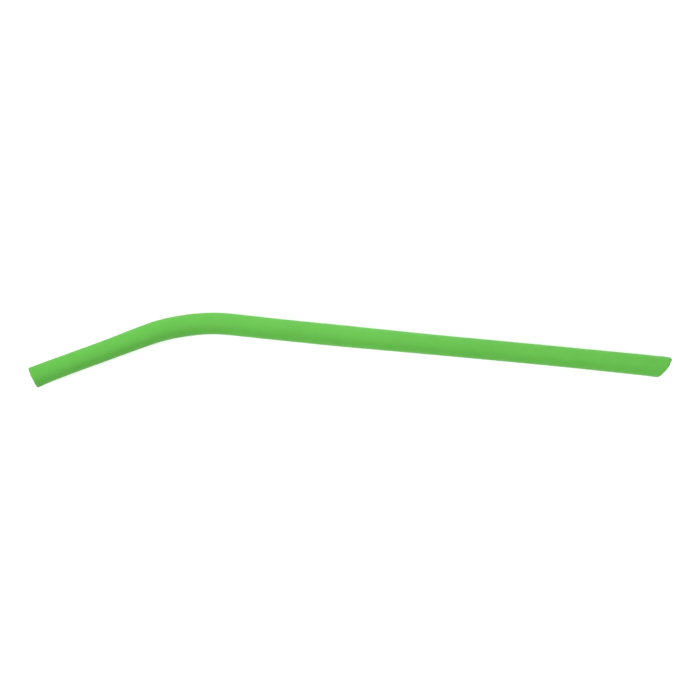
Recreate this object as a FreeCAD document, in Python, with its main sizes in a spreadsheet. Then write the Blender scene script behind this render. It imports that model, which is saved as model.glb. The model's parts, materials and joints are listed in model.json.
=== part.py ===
import FreeCAD, Part
import os
import Sketcher
from FreeCAD import Placement, Rotation, Vector
from math import asin, cos, isclose, pi, radians, sin, sqrt

# A bent drinking straw, moulded in one piece from silicone rubber.
#
# It is one tube with an even wall: a long straight stem, one gentle bend and a short mouth leg.
# The stem ends in a slanted tip, cut along a line that bows outward. The tip's nose is on the
# outer side of the bend and its heel on the inner side. The mouth leg ends in a lip that is
# nearly square. Both rims are rounded, well on the outside and lightly at the bore.
#
# The straw lies on its side, as it comes to rest: its bend is level, the stem runs along +X to
# the tip, and the mouth leg turns towards -Y. It rests on Z = 0, and the origin is below the
# middle of its bounding box. Lengths are in millimetres and angles in degrees.

SIZES = (
    ("outer_diameter", 8.0, "outside of the tube"),
    ("wall", 1.2, "thickness of the tube's wall"),
    ("stem_length", 174.15, "straight run from the bend to the tip's corner, before rounding"),
    ("bend_radius", 71.0, "radius of the bend at the tube's centreline"),
    ("bend_angle", 25.8, "turn of the mouth leg away from the stem"),
    ("mouth_length", 47.5, "straight run from the bend to the middle of the lip"),
    ("tip_setback", 4.75, "how far the tip's heel lies behind its nose, along the stem"),
    ("tip_bow_radius", 16.0, "radius of the tip's bowed cut"),
    ("tip_outer_round", 0.8, "rounding of the tip's rim on the outside"),
    ("tip_bore_round", 0.15, "rounding of the tip's rim at the bore"),
    ("lip_angle", 6.0, "turn of the lip's face away from square"),
    ("lip_outer_round", 0.5, "rounding of the lip's rim on the outside"),
    ("lip_bore_round", 0.3, "rounding of the lip's rim at the bore"),
)

# The rim that each fillet rounds, the size of its radius, and the most of the wall that the
# radius may take up. The two rounds of an end share one wall, so that they never meet.
RIMS = (
    ("tip_outer_rim", "tip_outer_round", 0.68),
    ("tip_bore_rim", "tip_bore_round", 0.13),
    ("lip_outer_rim", "lip_outer_round", 0.6),
    ("lip_bore_rim", "lip_bore_round", 0.3),
)

# Sketcher counts the points of a line or arc up from 1, and a sketch's own axes down from -1.
# The origin is the first point of the X axis.
START, END, CENTRE = range(1, 4)
X_AXIS = -1
Y_AXIS = X_AXIS - 1
ORIGIN = (X_AXIS, START)

doc = FreeCAD.newDocument("drinking_straw")


def make_sheet():
    """Put each driving size in its own cell, under the name that the features use."""
    sheet = doc.addObject("Spreadsheet::Sheet", "sizes")
    for row, (name, value, meaning) in enumerate(SIZES, start=1):
        sheet.set(f"A{row}", meaning)
        sheet.set(f"B{row}", str(value))
        sheet.setAlias(f"B{row}", name)
    doc.recompute()
    return sheet


sizes = make_sheet()
outer = sizes.outer_diameter / 2
bore = outer - sizes.wall
turn = radians(sizes.bend_angle)

# The tube is swept one diameter too long at each end, and the end cuts take that off again.
# The outline of a cut reaches one wall past the tube's outside.
spare = sizes.outer_diameter
reach = outer + sizes.wall

straw = doc.addObject("PartDesign::Body", "straw")
straw.Label = "straw"


# Sketches. Each is drawn where it belongs, and its dimensions then tie it to the sheet.

def new_sketch(name, role):
    """Start a sketch on one of the body's own origin planes."""
    sketch = straw.newObject("Sketcher::SketchObject", name)
    plane = next(item for item in straw.Origin.OriginFeatures if item.Role == role)
    sketch.AttachmentSupport = (plane, [""])
    sketch.MapMode = "FlatFace"
    return sketch


def rule(sketch, kind, *where):
    """Add a constraint that has no size."""
    sketch.addConstraint(Sketcher.Constraint(kind, *where))


def dimension(sketch, name, expression, kind, *where):
    """Add a constraint whose size comes from the sheet."""
    index = sketch.addConstraint(Sketcher.Constraint(kind, *where))
    sketch.renameConstraint(index, name)
    sketch.setExpression(f"Constraints.{name}", expression)


def draw_centreline():
    """The tube's route, from past the tip back along the stem, round the bend and past the lip.

    The sketch's origin is level with the corner of the tip.
    """
    sketch = new_sketch("centreline", "XY_Plane")
    stem_end = Vector(-sizes.stem_length, 0, 0)
    centre = stem_end - Vector(0, sizes.bend_radius, 0)
    leg_start = centre + sizes.bend_radius * Vector(-sin(turn), cos(turn), 0)
    leg_end = leg_start - (sizes.mouth_length + spare) * Vector(cos(turn), sin(turn), 0)
    circle = Part.Circle(centre, Vector(0, 0, 1), sizes.bend_radius)
    stem = sketch.addGeometry(Part.LineSegment(Vector(spare, 0, 0), stem_end))
    bend = sketch.addGeometry(Part.ArcOfCircle(circle, pi / 2, pi / 2 + turn))
    leg = sketch.addGeometry(Part.LineSegment(leg_start, leg_end))
    rule(sketch, "PointOnObject", stem, START, X_AXIS)
    rule(sketch, "Horizontal", stem)
    rule(sketch, "Tangent", stem, END, bend, START)
    rule(sketch, "Tangent", bend, END, leg, START)
    dimension(sketch, "spare", "sizes.outer_diameter",
              "DistanceX", *ORIGIN, stem, START, spare)
    dimension(sketch, "stem", "sizes.stem_length",
              "DistanceX", stem, END, *ORIGIN, sizes.stem_length)
    dimension(sketch, "radius", "sizes.bend_radius",
              "Radius", bend, sizes.bend_radius)
    dimension(sketch, "turn", "sizes.bend_angle * 1 deg",
              "Angle", bend, turn)
    dimension(sketch, "leg", "sizes.mouth_length + sizes.outer_diameter",
              "Distance", leg, sizes.mouth_length + spare)
    return sketch


def draw_section():
    """The tube's ring, square across the start of the route."""
    sketch = new_sketch("section", "YZ_Plane")
    sketch.setExpression("AttachmentOffset.Base.z", "sizes.outer_diameter")
    outside = sketch.addGeometry(Part.Circle(Vector(0, 0, 0), Vector(0, 0, 1), outer))
    inside = sketch.addGeometry(Part.Circle(Vector(0, 0, 0), Vector(0, 0, 1), bore))
    rule(sketch, "Coincident", outside, CENTRE, *ORIGIN)
    rule(sketch, "Coincident", inside, CENTRE, *ORIGIN)
    dimension(sketch, "outside", "sizes.outer_diameter",
              "Diameter", outside, 2 * outer)
    dimension(sketch, "inside", "sizes.outer_diameter - 2 * sizes.wall",
              "Diameter", inside, 2 * bore)
    return sketch


def close_outline(sketch, edge, low, high):
    """Close the outline of an end cut, from its edge out past everything that it takes off."""
    far = 2 * spare
    top = sketch.addGeometry(Part.LineSegment(high, Vector(far, high.y, 0)))
    side = sketch.addGeometry(Part.LineSegment(Vector(far, high.y, 0), Vector(far, low.y, 0)))
    bottom = sketch.addGeometry(Part.LineSegment(Vector(far, low.y, 0), low))
    rule(sketch, "Coincident", edge, END, top, START)
    rule(sketch, "Coincident", top, END, side, START)
    rule(sketch, "Coincident", side, END, bottom, START)
    rule(sketch, "Coincident", bottom, END, edge, START)
    rule(sketch, "Horizontal", top)
    rule(sketch, "Vertical", side)
    rule(sketch, "Horizontal", bottom)
    dimension(sketch, "above", "sizes.outer_diameter / 2 + sizes.wall",
              "DistanceY", *ORIGIN, top, START, high.y)
    dimension(sketch, "below", "sizes.outer_diameter / 2 + sizes.wall",
              "DistanceY", bottom, END, *ORIGIN, -low.y)
    dimension(sketch, "far", "2 * sizes.outer_diameter",
              "DistanceX", *ORIGIN, side, START, far)


def draw_tip_cut():
    """What the slanted cut takes off the stem.

    Its edge is an arc through the nose, at the tube's top and level with the sketch's origin,
    and through the heel, at the tube's bottom and set back. The arc bows outward between them.
    """
    sketch = new_sketch("tip_outline", "XY_Plane")
    nose = Vector(0, outer, 0)
    heel = Vector(-sizes.tip_setback, -outer, 0)
    half_chord = nose.distanceToPoint(heel) / 2
    along = (nose - heel).normalize()
    depth = sqrt(sizes.tip_bow_radius ** 2 - half_chord ** 2)
    centre = (nose + heel) / 2 + depth * Vector(-along.y, along.x, 0)
    circle = Part.Circle(centre, Vector(0, 0, 1), sizes.tip_bow_radius)
    low_angle = asin((-reach - centre.y) / sizes.tip_bow_radius)
    high_angle = asin((reach - centre.y) / sizes.tip_bow_radius)
    arc = Part.ArcOfCircle(circle, low_angle, high_angle)
    bow = sketch.addGeometry(arc)
    chord = sketch.addGeometry(Part.LineSegment(heel, nose), True)
    close_outline(sketch, bow, arc.StartPoint, arc.EndPoint)
    rule(sketch, "PointOnObject", chord, START, bow)
    rule(sketch, "PointOnObject", chord, END, bow)
    rule(sketch, "PointOnObject", chord, END, Y_AXIS)
    dimension(sketch, "nose_height", "sizes.outer_diameter / 2",
              "DistanceY", *ORIGIN, chord, END, outer)
    dimension(sketch, "heel_depth", "sizes.outer_diameter / 2",
              "DistanceY", chord, START, *ORIGIN, outer)
    dimension(sketch, "setback", "sizes.tip_setback",
              "DistanceX", chord, START, *ORIGIN, sizes.tip_setback)
    dimension(sketch, "bow_radius", "sizes.tip_bow_radius",
              "Radius", bow, sizes.tip_bow_radius)
    return sketch


def draw_lip_cut():
    """What the lip's flat cut takes off the mouth leg.

    The sketch's origin is the middle of the lip, and its X axis points out of the mouth. The
    lip's slant leaves the outer side of the bend a little longer.
    """
    sketch = new_sketch("lip_outline", "XY_Plane")
    leg_turn = "sizes.bend_angle * 1 deg"
    sketch.setExpression("AttachmentOffset.Base.x",
                         f"-sizes.stem_length - sizes.bend_radius * sin({leg_turn})"
                         f" - sizes.mouth_length * cos({leg_turn})")
    sketch.setExpression("AttachmentOffset.Base.y",
                         f"-sizes.bend_radius * (1 - cos({leg_turn}))"
                         f" - sizes.mouth_length * sin({leg_turn})")
    sketch.setExpression("AttachmentOffset.Rotation.Angle",
                         f"180 deg + {leg_turn} + sizes.lip_angle * 1 deg")
    low = Vector(0, -reach, 0)
    high = Vector(0, reach, 0)
    face = sketch.addGeometry(Part.LineSegment(low, high))
    close_outline(sketch, face, low, high)
    rule(sketch, "PointOnObject", face, START, Y_AXIS)
    rule(sketch, "Vertical", face)
    return sketch


# Features, in the order that the body is built.

def sweep_tube():
    """Sweep the ring along the route."""
    section = draw_section()
    centreline = draw_centreline()
    doc.recompute()
    tube = straw.newObject("PartDesign::AdditivePipe", "tube")
    tube.Profile = section
    tube.Spine = (centreline, ["Edge1", "Edge2", "Edge3"])
    doc.recompute()


def cut(name, outline):
    """Cut an outline right through the tube, to both sides of the sketch."""
    doc.recompute()
    uncut = straw.Shape.Volume
    pocket = straw.newObject("PartDesign::Pocket", name)
    pocket.Profile = outline
    pocket.SideType = "Symmetric"
    pocket.Type = "ThroughAll"
    doc.recompute()
    if isclose(straw.Shape.Volume, uncut, rel_tol=1e-6):
        raise RuntimeError(f"{name} cuts nothing")
    print(f"{name} takes off {uncut - straw.Shape.Volume:.1f} mm3")


def rim_edges(name):
    """Find the edges of one rim. The cut wall of an end is the only face there with a hole."""
    ends = [face for face in straw.Shape.Faces if len(face.Wires) == 2]
    ends.sort(key=lambda face: face.CenterOfMass.x)
    end = ends[-1] if "tip" in name else ends[0]
    wires = sorted(end.Wires, key=lambda wire: wire.Length)
    rim = wires[-1] if "outer" in name else wires[0]
    return [f"Edge{number}" for number, edge in enumerate(straw.Shape.Edges, start=1)
            if any(edge.isSame(other) for other in rim.Edges)]


def round_rim(name, size, share):
    """Round one rim to its size, or to its share of the wall where that is less."""
    sharp = straw.Tip
    edges = rim_edges(name)
    fillet = straw.newObject("PartDesign::Fillet", name)
    fillet.Base = (sharp, edges)
    fillet.setExpression("Radius", f"min(sizes.{size}; {share} * sizes.wall)")
    doc.recompute()


def lay_down():
    """Put the resting surface at Z = 0 and the origin below the middle of the box."""
    box = straw.Shape.optimalBoundingBox()
    straw.Placement = Placement(Vector(-box.Center.x, -box.Center.y, -box.ZMin), Rotation())
    doc.recompute()


def check_document():
    """Stop if any object of the document failed."""
    for item in doc.Objects:
        if "Invalid" in item.State or "Error" in item.State:
            raise RuntimeError(f"{item.Name} failed: {item.State}")
    if straw.Shape.isNull() or not straw.Shape.isValid():
        raise RuntimeError("the straw's shape isn't valid")


sweep_tube()
cut("tip_cut", draw_tip_cut())
cut("lip_cut", draw_lip_cut())
for rim, size, share in RIMS:
    round_rim(rim, size, share)
lay_down()
check_document()

os.makedirs("parts", exist_ok=True)
straw.Shape.exportStep(f"parts/{straw.Label}.step")

box = straw.Shape.optimalBoundingBox()
bend_length = sizes.bend_radius * turn
print(f"box {box.XLength:.2f} x {box.YLength:.2f} x {box.ZLength:.2f} mm")
print(f"volume {straw.Shape.Volume:.1f} mm3, solids {len(straw.Shape.Solids)}")
print(f"length along the tube {sizes.stem_length + bend_length + sizes.mouth_length:.1f} mm")
print(f"body placed at {straw.Placement.Base}")
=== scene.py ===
import json
from math import atan, pi, radians, tan

import bpy
import numpy as np
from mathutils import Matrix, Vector
from mathutils.geometry import intersect_line_line


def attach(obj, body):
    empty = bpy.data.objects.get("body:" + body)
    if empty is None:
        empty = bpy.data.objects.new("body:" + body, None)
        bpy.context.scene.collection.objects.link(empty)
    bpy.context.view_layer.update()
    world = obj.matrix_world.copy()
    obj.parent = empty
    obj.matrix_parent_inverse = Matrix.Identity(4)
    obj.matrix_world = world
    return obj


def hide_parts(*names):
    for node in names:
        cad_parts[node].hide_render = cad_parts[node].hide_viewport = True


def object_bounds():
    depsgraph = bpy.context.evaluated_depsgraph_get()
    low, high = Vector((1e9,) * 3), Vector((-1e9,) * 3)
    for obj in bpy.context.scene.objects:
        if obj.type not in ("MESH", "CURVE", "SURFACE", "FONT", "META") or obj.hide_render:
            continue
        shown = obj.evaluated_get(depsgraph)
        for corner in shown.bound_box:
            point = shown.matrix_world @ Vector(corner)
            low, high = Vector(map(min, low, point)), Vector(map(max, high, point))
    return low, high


# A bent drinking straw of soft silicone rubber, lying on its side on a pale floor.
#
# One mesh stands for the whole straw. It follows the CAD tube's route, wall and cut ends, and
# adds what moulding and cutting leave on the real one: a tube that swells and narrows a little
# along its length, a line that isn't quite true, slight waves in the cuts, and a soft bead at the
# tip's nose.

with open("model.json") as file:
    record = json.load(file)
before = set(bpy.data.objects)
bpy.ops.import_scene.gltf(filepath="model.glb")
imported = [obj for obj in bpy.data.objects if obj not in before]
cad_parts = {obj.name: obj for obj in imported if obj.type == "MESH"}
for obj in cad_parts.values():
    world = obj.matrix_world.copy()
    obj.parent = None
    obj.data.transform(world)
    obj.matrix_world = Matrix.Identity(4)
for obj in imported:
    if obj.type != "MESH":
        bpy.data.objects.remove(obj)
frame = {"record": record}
cad_low, cad_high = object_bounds()

MM = 0.001

# The straw's own sizes. Its diameter, bore and two directions come from the frame's mounts.
BEND_RADIUS = 71 * MM
MOUTH_LENGTH = 47.5 * MM
TIP_SETBACK = 4.75 * MM
TIP_BOW_RADIUS = 16 * MM
TIP_CORNER = 0.25 * MM          # how far rounding draws the nose back from its sharp corner
TIP_NOSE_ROUND = 0.95 * MM      # of the rim's outer edge, at the nose and at the heel
TIP_HEEL_ROUND = 0.5 * MM
TIP_BORE_ROUND = 0.15 * MM
LIP_ANGLE = radians(6)
LIP_FRONT_ROUND = 0.35 * MM     # of the rim's outer edge, where the slant puts it in front
LIP_BACK_ROUND = 0.25 * MM
LIP_BORE_ROUND = 0.3 * MM

# Soft departures from the true tube, each (middle, spread, amount). The middle is a distance
# along the tube from the lip. Swells add to the narrowest width, and drifts move the tube's line
# towards the outer side of the bend.
NARROWEST = 7.84 * MM
SWELLS = (
    (0, 8 * MM, 0.38 * MM),
    (0, 2.5 * MM, 0.28 * MM),
    (51 * MM, 8 * MM, 0.24 * MM),
    (76 * MM, 23 * MM, 0.6 * MM),
    (125 * MM, 17 * MM, 0.45 * MM),
    (249.7 * MM, 0.9 * MM, 0.12 * MM),
    (253 * MM, 17 * MM, 0.35 * MM),
)
DRIFTS = (
    (0, 3.5 * MM, -0.18 * MM),
    (0.6 * MM, 0.9 * MM, -0.06 * MM),
    (31 * MM, 5 * MM, -0.06 * MM),
    (64 * MM, 7.6 * MM, -0.27 * MM),
    (74 * MM, 15 * MM, 0.33 * MM),
    (206 * MM, 27 * MM, 0.17 * MM),
    (247.5 * MM, 2 * MM, -0.1 * MM),
    (252.5 * MM, 1.3 * MM, -0.09 * MM),
)

# The same on the cuts, where the middle is a height across the tube and the amount is along it.
# The nose's bead also fades to both sides of the bend's plane.
LIP_WAVES = (
    (2.1 * MM, 0.4 * MM, 0.09 * MM),
    (-1.3 * MM, 0.6 * MM, 0.09 * MM),
)
TIP_WAVES = (
    (1.9 * MM, 0.4 * MM, -0.08 * MM),
    (1.1 * MM, 0.5 * MM, 0.09 * MM),
    (-3.4 * MM, 0.7 * MM, 0.2 * MM),
)
NOSE_BEAD = (
    (3.0 * MM, 0.45 * MM, 0.34 * MM),
)
NOSE_BEAD_REACH = 1.4 * MM

# The mesh's own fineness.
AROUND = 96
ALONG = 360
END_CROWDING = 0.85             # 0 spaces the rows along the tube evenly, 1 would close them up
ROUND_STEPS = 9

# The view: straight down, turned so that the stem slopes down to the right.
VIEW_WIDTH = 273.4 * MM
VIEW_TURN = radians(5.54)
VIEW_AIM = Vector((-0.51, 8.34, 4)) * MM
CAMERA_HEIGHT = 1.0

# The rubber. A scale is a noise texture's number of cells to the metre.
DEEP_GREEN = (0.0765, 0.32, 0.038, 1)
LIGHT_GREEN = (0.0815, 0.336, 0.041, 1)
CLOUD_SCALE = 90
WAVE_SCALE = 160
WAVE_DEPTH = 0.12 * MM
GRAIN_SCALE = 2600
GRAIN_DEPTH = 0.02 * MM
SCATTER_DEPTH = 0.8 * MM

# The floor and the lights. Each far light is (name, direction, spread, strength).
FLOOR_REACH = 4.0
FLOOR_WHITE = (0.98, 0.98, 0.98, 1)
ROOM_LIGHT = 0.37
KEY_PLACE = (-0.05, 0.35, 0.2)
KEY_SIZE = 0.2
KEY_POWER = 1.17
FAR_LIGHTS = (
    ("overhead", (0, 0, 1), radians(60), 1.2),
    ("top", (0.2, -0.2, 1), radians(40), 1.15),
    ("fill", (-0.6, -0.25, 0.15), radians(40), 2.68),
)


# The tube's route

mounts = {mount["name"]: mount for mount in frame["record"]["mounts"]}
outer_radius = mounts["stem"]["dims"]["r_mm"] * MM
wall = outer_radius - mounts["stem_bore"]["dims"]["r_mm"] * MM
stem_point = Vector(mounts["stem"]["pos_m"])
leg_point = Vector(mounts["mouth_leg"]["pos_m"])
stem_way = Vector(mounts["stem"]["axis"])
leg_way = Vector(mounts["mouth_leg"]["axis"])

bend_angle = pi - stem_way.angle(leg_way)
bend_length = BEND_RADIUS * bend_angle
crossing = intersect_line_line(stem_point, stem_point + stem_way,
                               leg_point, leg_point + leg_way)[0]
tangent_length = BEND_RADIUS * tan(bend_angle / 2)
bend_end = crossing + stem_way * tangent_length
lip_middle = crossing + leg_way * (tangent_length + MOUTH_LENGTH)
stem_start = MOUTH_LENGTH + bend_length
nose = stem_start + cad_high.x - bend_end.x


def humps(at, shapes):
    """The sum of soft humps, each given as (middle, spread, amount)."""
    return sum(amount * np.exp(-0.5 * ((at - middle) / spread) ** 2)
               for middle, spread, amount in shapes)


def route(along):
    """Points on the tube's centreline and their directions to the outer side of the bend."""
    turned = np.clip((along - MOUTH_LENGTH) / BEND_RADIUS, 0, bend_angle)
    heading = bend_angle - turned
    side = np.stack([-np.sin(heading), np.cos(heading), np.zeros_like(heading)], axis=-1)
    lip_side = np.array([-np.sin(bend_angle), np.cos(bend_angle), 0])
    in_leg = np.minimum(along, MOUTH_LENGTH)[..., None] * -np.array(leg_way)
    in_bend = BEND_RADIUS * (side - lip_side)
    in_stem = np.maximum(along - stem_start, 0)[..., None] * np.array(stem_way)
    middle = np.array(lip_middle) + in_leg + in_bend + in_stem
    return middle + humps(along, DRIFTS)[..., None] * side, side


def half_width(along):
    """Half of the tube's width across the plane of the bend."""
    return (NARROWEST + humps(along, SWELLS)) / 2


# The cut ends

def tip_cut(height):
    """How far along the tube the tip's bowed cut lies, at a height across it."""
    chord = Vector((TIP_SETBACK, 2 * outer_radius))
    depth = (TIP_BOW_RADIUS ** 2 - (chord.length / 2) ** 2) ** 0.5
    back = chord.x / 2 + depth * chord.y / chord.length
    up = depth * chord.x / chord.length
    bow = (TIP_BOW_RADIUS ** 2 - (height - up) ** 2) ** 0.5
    return nose + TIP_CORNER - back + bow + humps(height, TIP_WAVES)


def lip_cut(height):
    """How far along the tube the lip's slanted face lies, at a height across it."""
    return -tan(LIP_ANGLE) * height + humps(height, LIP_WAVES)


def turning(angle, outer, inner):
    """A size that changes smoothly around the tube, from the bend's outer side to its inner side."""
    return inner + (outer - inner) * (1 + np.cos(angle)) / 2


def rim(outer_round, bore_round):
    """Rows of points over a rim, from the outside to the bore, as (inset, drop behind the cut)."""
    turn = np.linspace(0, pi / 2, ROUND_STEPS + 1)[:, None]
    inset = np.concatenate([outer_round * (1 - np.cos(turn)),
                            wall - bore_round * (1 - np.cos(turn[::-1]))])
    drop = np.concatenate([outer_round * (1 - np.sin(turn)),
                           bore_round * (1 - np.sin(turn[::-1]))])
    return inset, drop


# The mesh

def straw_points():
    """A closed grid of points: out to the tip along the outside, and back through the bore."""
    angle = np.linspace(0, 2 * pi, AROUND, endpoint=False)[None, :]
    even = np.linspace(0, 1, ALONG + 1)[1:-1, None]
    share = even - END_CROWDING * np.sin(2 * pi * even) / (2 * pi)

    tip_round = turning(angle, TIP_NOSE_ROUND, TIP_HEEL_ROUND)
    tip_inset, tip_drop = rim(tip_round, np.full_like(angle, TIP_BORE_ROUND))
    tip_height = (half_width(nose) - tip_inset) * np.cos(angle)
    tip_up = (outer_radius - tip_inset) * np.sin(angle)
    bead = humps(tip_height, NOSE_BEAD) * np.exp(-0.5 * (tip_up / NOSE_BEAD_REACH) ** 2)
    tip_rows = tip_cut(tip_height) + bead - tip_drop

    lip_round = turning(angle, LIP_FRONT_ROUND, LIP_BACK_ROUND)
    lip_inset, lip_drop = rim(lip_round, np.full_like(angle, LIP_BORE_ROUND))
    lip_height = (half_width(0) - lip_inset) * np.cos(angle)
    lip_rows = lip_cut(lip_height) + lip_drop

    outside = lip_rows[0] + (tip_rows[0] - lip_rows[0]) * share
    bore = tip_rows[-1] + (lip_rows[-1] - tip_rows[-1]) * share
    along = np.concatenate([outside, tip_rows, bore, lip_rows[::-1]])
    inset = np.concatenate([np.zeros_like(outside), tip_inset,
                            np.full_like(bore, wall), lip_inset[::-1]])

    middle, side = route(along)
    across = (half_width(along) - inset) * np.cos(angle)
    up = (outer_radius - inset) * np.sin(angle)
    points = middle + across[..., None] * side
    points[..., 2] += up
    return points


def grid_faces(rows, columns):
    """The quads of a grid that closes on itself both ways."""
    row, column = np.meshgrid(np.arange(rows), np.arange(columns), indexing="ij")
    next_row, next_column = (row + 1) % rows, (column + 1) % columns
    corners = [row * columns + column, row * columns + next_column,
               next_row * columns + next_column, next_row * columns + column]
    return np.stack(corners, axis=-1).reshape(-1, 4)


def make_straw():
    """The straw's one mesh, as a Blender object."""
    points = straw_points()
    rows, columns, _ = points.shape
    mesh = bpy.data.meshes.new("silicone_straw")
    mesh.from_pydata(points.reshape(-1, 3).tolist(), [], grid_faces(rows, columns).tolist())
    mesh.shade_smooth()
    mesh.validate()
    piece = bpy.data.objects.new("silicone_straw", mesh)
    bpy.context.scene.collection.objects.link(piece)
    return piece


# Materials

def new_material(name):
    """A material made of nodes, and its principled shader."""
    material = bpy.data.materials.new(name)
    material.use_nodes = True
    return material, material.node_tree.nodes["Principled BSDF"]


def set_inputs(node, inputs):
    """Set a node's inputs to values, or link them to the outputs of other nodes."""
    for key, value in inputs.items():
        if isinstance(value, bpy.types.NodeSocket):
            node.id_data.links.new(value, node.inputs[key])
        else:
            node.inputs[key].default_value = value


def add_node(material, kind, inputs):
    """Add a node to a material and set its inputs."""
    node = material.node_tree.nodes.new(kind)
    set_inputs(node, inputs)
    return node


def add_noise(material, scale, detail, roughness):
    """Noise that is fixed to the straw, as the output that gives its height."""
    place = add_node(material, "ShaderNodeTexCoord", {})
    noise = add_node(material, "ShaderNodeTexNoise", {
        "Vector": place.outputs["Object"],
        "Scale": scale,
        "Detail": detail,
        "Roughness": roughness,
    })
    return noise.outputs["Fac"]


def silicone():
    """Satin green rubber: even colour with a faint cloudiness, and the mould's fine grain."""
    material, shader = new_material("green_silicone")
    clouds = add_noise(material, CLOUD_SCALE, detail=3, roughness=0.5)
    waves = add_noise(material, WAVE_SCALE, detail=1, roughness=0.4)
    grain = add_noise(material, GRAIN_SCALE, detail=2, roughness=0.6)

    colour = add_node(material, "ShaderNodeValToRGB", {"Fac": clouds})
    deep, light = colour.color_ramp.elements
    deep.position = 0.3
    deep.color = DEEP_GREEN
    light.position = 0.7
    light.color = LIGHT_GREEN

    rough = add_node(material, "ShaderNodeMapRange", {
        "Value": grain,
        "From Min": 0.3,
        "From Max": 0.7,
        "To Min": 0.58,
        "To Max": 0.68,
    })
    soft = add_node(material, "ShaderNodeBump", {
        "Height": waves,
        "Strength": 0.25,
        "Distance": WAVE_DEPTH,
    })
    fine = add_node(material, "ShaderNodeBump", {
        "Height": grain,
        "Strength": 0.35,
        "Distance": GRAIN_DEPTH,
        "Normal": soft.outputs["Normal"],
    })

    set_inputs(shader, {
        "Base Color": colour.outputs["Color"],
        "Roughness": rough.outputs["Result"],
        "Normal": fine.outputs["Normal"],
        "IOR": 1.41,
        "Specular IOR Level": 0.3,
        "Subsurface Weight": 0.2,
        "Subsurface Radius": (0.5, 1.0, 0.35),
        "Subsurface Scale": SCATTER_DEPTH,
    })
    return material


def pale_floor():
    """Plain matt white."""
    material, shader = new_material("pale_floor")
    set_inputs(shader, {
        "Base Color": FLOOR_WHITE,
        "Roughness": 0.8,
        "Specular IOR Level": 0.2,
    })
    return material


# The scene

def make_floor():
    """One large square that the straw lies on."""
    corners = [(x * FLOOR_REACH, y * FLOOR_REACH, 0)
               for x, y in ((-1, -1), (1, -1), (1, 1), (-1, 1))]
    mesh = bpy.data.meshes.new("floor")
    mesh.from_pydata(corners, [], [(0, 1, 2, 3)])
    mesh.materials.append(pale_floor())
    floor = bpy.data.objects.new("floor", mesh)
    bpy.context.scene.collection.objects.link(floor)


def aim_light(data, place):
    """Put a light at a place, facing the straw."""
    light = bpy.data.objects.new(data.name, data)
    bpy.context.scene.collection.objects.link(light)
    light.location = place
    light.rotation_mode = "QUATERNION"
    light.rotation_quaternion = Vector(place).to_track_quat("Z", "Y")
    light.visible_camera = False


def add_soft_box(name, place, size, power):
    """A square light that stands near the straw."""
    data = bpy.data.lights.new(name, "AREA")
    data.shape = "SQUARE"
    data.size = size
    data.energy = power
    aim_light(data, place)


def add_far_light(name, direction, spread, strength):
    """A light so far away that it is even over the whole floor."""
    data = bpy.data.lights.new(name, "SUN")
    data.angle = spread
    data.energy = strength
    aim_light(data, direction)


def light_scene():
    """Even light from all round, a soft key and three far lights, seen without a film look."""
    world = bpy.data.worlds.new("studio")
    world.use_nodes = True
    background = world.node_tree.nodes["Background"]
    background.inputs["Color"].default_value = (1, 1, 1, 1)
    background.inputs["Strength"].default_value = ROOM_LIGHT
    bpy.context.scene.world = world
    add_soft_box("key", KEY_PLACE, KEY_SIZE, KEY_POWER)
    for far_light in FAR_LIGHTS:
        add_far_light(*far_light)
    bpy.context.scene.view_settings.view_transform = "Standard"


def add_camera():
    """A camera that sees the view's width at the height of the tube's middle."""
    data = bpy.data.cameras.new("camera")
    data.angle = 2 * atan(VIEW_WIDTH / 2 / CAMERA_HEIGHT)
    camera = bpy.data.objects.new("camera", data)
    bpy.context.scene.collection.objects.link(camera)
    camera.location = VIEW_AIM + Vector((0, 0, CAMERA_HEIGHT))
    camera.rotation_euler = (0, 0, VIEW_TURN)
    bpy.context.scene.camera = camera


straw = make_straw()
straw.data.materials.append(silicone())
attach(straw, "root")
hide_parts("straw")

make_floor()
light_scene()
add_camera()

bpy.context.view_layer.update()
